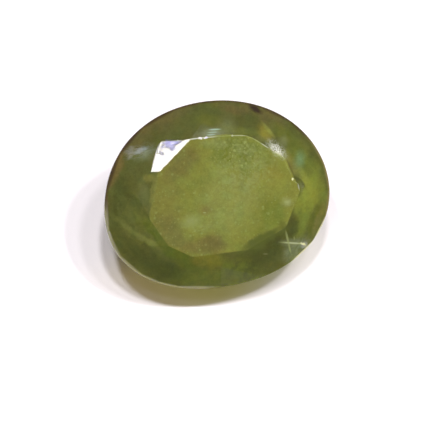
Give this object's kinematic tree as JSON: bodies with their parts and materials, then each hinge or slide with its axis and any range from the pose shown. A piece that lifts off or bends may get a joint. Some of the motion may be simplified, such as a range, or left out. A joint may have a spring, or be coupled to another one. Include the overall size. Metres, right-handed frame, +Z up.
{
  "type": "faceted vesuvianite gemstone",
  "caption": "Loose oval faceted gemstone with a wide table, a low crown and a deep, bulging pavilion, lying on one of its lower facets.",
  "frame": {"origin": "centre of the stone's plan box, on the surface that it lies on", "axes": "+Z up, +X along the length of the oval as it lies, -Y towards the side that the table leans to"},
  "size_m": [0.0118, 0.009, 0.007],
  "materials": {
    "vesuvianite": "polished, cloudy and translucent, olive green, worn facet edges"
  },
  "bodies": {
    "root": {"gemstone": "vesuvianite"}
  },
  "joints": []
}
